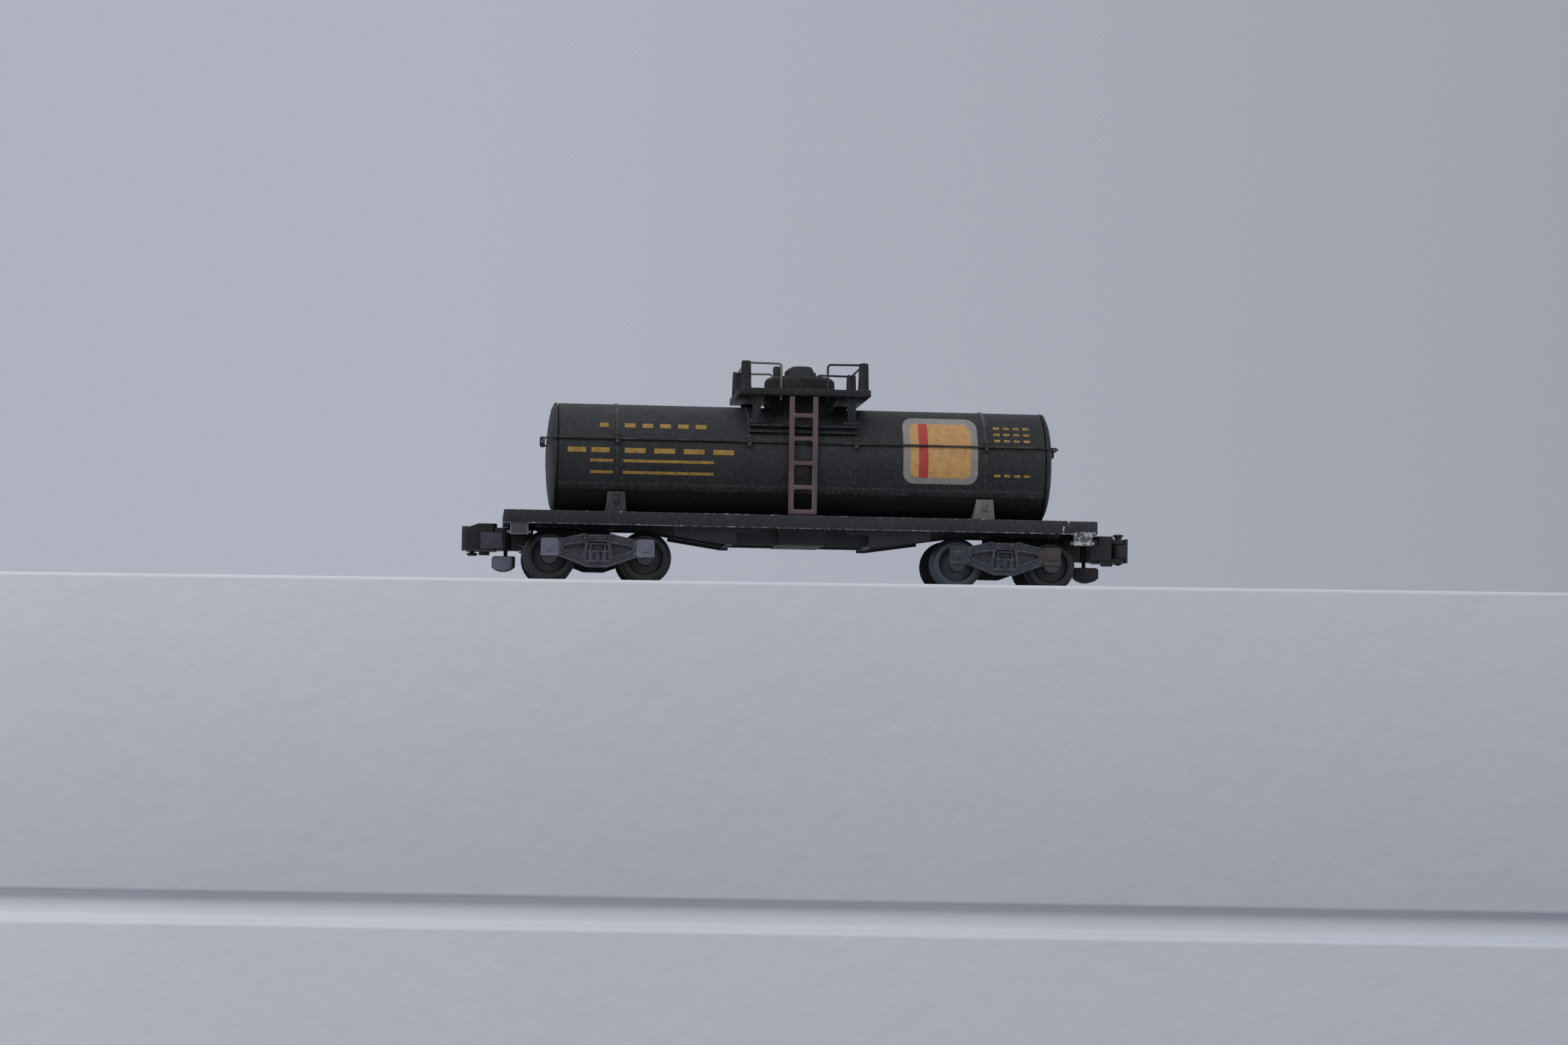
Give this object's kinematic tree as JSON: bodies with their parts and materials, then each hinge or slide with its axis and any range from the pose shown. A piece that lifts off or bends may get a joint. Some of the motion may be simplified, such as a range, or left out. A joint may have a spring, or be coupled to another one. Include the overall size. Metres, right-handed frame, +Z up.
{
  "type": "model tank wagon",
  "caption": "Model tank wagon with a domed horizontal tank on a flat frame, swivelling wheel trucks, hinged knuckle couplers, dome platform, side ladders and a wire handrail.",
  "frame": {"origin": "centre of the wagon at the height where the wheel flanges stand", "axes": "X along the wagon, Y across it, Z up"},
  "size_m": [0.2026, 0.0378, 0.0678],
  "materials": {
    "painted_casting": "matt blue-black paint over die-cast metal, chipped at the edges",
    "tank_plastic": "matt black moulded plastic, dusty",
    "saddle_grey": "dusty grey-black moulded plastic, rubbed at the base",
    "ladder_plastic": "satin purple-brown moulded plastic",
    "truck_plastic": "matt dark grey moulded plastic with dust on the raised edges",
    "wheel_black": "satin black moulded plastic",
    "coupler_black": "satin black moulded plastic",
    "dark_wire": "dark blackened wire",
    "worn_wire": "wire with the black finish worn through",
    "plain_steel": "plain steel"
  },
  "bodies": {
    "wagon_frame": {"frame_casting": "painted_casting", "tank_shell": "tank_plastic", "tank_end_left": "tank_plastic", "tank_end_right": "tank_plastic", "tank_saddle_left": "saddle_grey", "tank_saddle_right": "saddle_grey", "tank_screw_left": "plain_steel", "tank_screw_right": "plain_steel", "dome": "tank_plastic", "dome_lid": "tank_plastic", "safety_valve": "tank_plastic", "platform": "tank_plastic", "platform_rail_left": "worn_wire", "platform_rail_right": "dark_wire", "angle_bar_near": "tank_plastic", "angle_bar_far": "tank_plastic", "ladder_near": "ladder_plastic", "ladder_far": "ladder_plastic", "tank_handrail": "dark_wire", "stanchion_near_1": "tank_plastic", "stanchion_near_2": "tank_plastic", "stanchion_near_3": "tank_plastic", "stanchion_near_4": "tank_plastic", "stanchion_far_1": "tank_plastic", "stanchion_far_2": "tank_plastic", "stanchion_far_3": "tank_plastic", "stanchion_far_4": "tank_plastic", "handrail_eyelet_left": "tank_plastic", "handrail_eyelet_right": "tank_plastic", "truck_left_pivot_rivet": "plain_steel", "truck_right_pivot_rivet": "plain_steel"},
    "truck_left": {"truck_left_frame": "painted_casting", "truck_left_sideframe_near": "truck_plastic", "truck_left_sideframe_far": "truck_plastic", "coupler_left_rivet": "plain_steel"},
    "wheelset_left_inner": {"truck_left_axle_inner": "plain_steel", "truck_left_wheel_inner_near": "wheel_black", "truck_left_wheel_inner_far": "wheel_black"},
    "wheelset_left_outer": {"truck_left_axle_outer": "plain_steel", "truck_left_wheel_outer_near": "wheel_black", "truck_left_wheel_outer_far": "wheel_black"},
    "coupler_left": {"coupler_left_head": "coupler_black", "coupler_left_knuckle_pin": "coupler_black"},
    "knuckle_left": {"coupler_left_knuckle": "coupler_black"},
    "lift_pin_left": {"coupler_left_lift_pin": "coupler_black"},
    "truck_right": {"truck_right_frame": "painted_casting", "truck_right_sideframe_near": "truck_plastic", "truck_right_sideframe_far": "truck_plastic", "coupler_right_rivet": "plain_steel"},
    "wheelset_right_inner": {"truck_right_axle_inner": "plain_steel", "truck_right_wheel_inner_near": "wheel_black", "truck_right_wheel_inner_far": "wheel_black"},
    "wheelset_right_outer": {"truck_right_axle_outer": "plain_steel", "truck_right_wheel_outer_near": "wheel_black", "truck_right_wheel_outer_far": "wheel_black"},
    "coupler_right": {"coupler_right_head": "coupler_black", "coupler_right_knuckle_pin": "coupler_black"},
    "knuckle_right": {"coupler_right_knuckle": "coupler_black"},
    "lift_pin_right": {"coupler_right_lift_pin": "coupler_black"}
  },
  "joints": [
    {"name": "truck_left_swivel", "type": "hinge", "parent": "wagon_frame", "child": "truck_left", "pos_m": [-0.0611, 0, 0.0155], "axis": [0, 0, 1], "range_deg": [-10, 10]},
    {"name": "wheelset_left_inner_spin", "type": "hinge", "parent": "truck_left", "child": "wheelset_left_inner", "pos_m": [-0.04685, 0, 0.008], "axis": [0, 1, 0], "continuous": true},
    {"name": "wheelset_left_outer_spin", "type": "hinge", "parent": "truck_left", "child": "wheelset_left_outer", "pos_m": [-0.07535, 0, 0.008], "axis": [0, 1, 0], "continuous": true},
    {"name": "coupler_left_swing", "type": "hinge", "parent": "truck_left", "child": "coupler_left", "pos_m": [-0.0825, 0, 0.0128], "axis": [0, 0, 1], "range_deg": [-7, 7]},
    {"name": "knuckle_left_open", "type": "hinge", "parent": "coupler_left", "child": "knuckle_left", "pos_m": [-0.0981, 0.0033, 0.0133], "axis": [0, 0, -1], "range_deg": [0, 55]},
    {"name": "lift_pin_left_lift", "type": "slide", "parent": "coupler_left", "child": "lift_pin_left", "axis": [0, 0, 1], "range_m": [0, 0.0012]},
    {"name": "truck_right_swivel", "type": "hinge", "parent": "wagon_frame", "child": "truck_right", "pos_m": [0.0611, 0, 0.0155], "axis": [0, 0, 1], "range_deg": [-10, 10]},
    {"name": "wheelset_right_inner_spin", "type": "hinge", "parent": "truck_right", "child": "wheelset_right_inner", "pos_m": [0.04685, 0, 0.008], "axis": [0, 1, 0], "continuous": true},
    {"name": "wheelset_right_outer_spin", "type": "hinge", "parent": "truck_right", "child": "wheelset_right_outer", "pos_m": [0.07535, 0, 0.008], "axis": [0, 1, 0], "continuous": true},
    {"name": "coupler_right_swing", "type": "hinge", "parent": "truck_right", "child": "coupler_right", "pos_m": [0.0825, 0, 0.0128], "axis": [0, 0, 1], "range_deg": [-7, 7]},
    {"name": "knuckle_right_open", "type": "hinge", "parent": "coupler_right", "child": "knuckle_right", "pos_m": [0.0981, -0.0033, 0.0133], "axis": [0, 0, -1], "range_deg": [0, 55]},
    {"name": "lift_pin_right_lift", "type": "slide", "parent": "coupler_right", "child": "lift_pin_right", "axis": [0, 0, 1], "range_m": [0, 0.0012]}
  ]
}
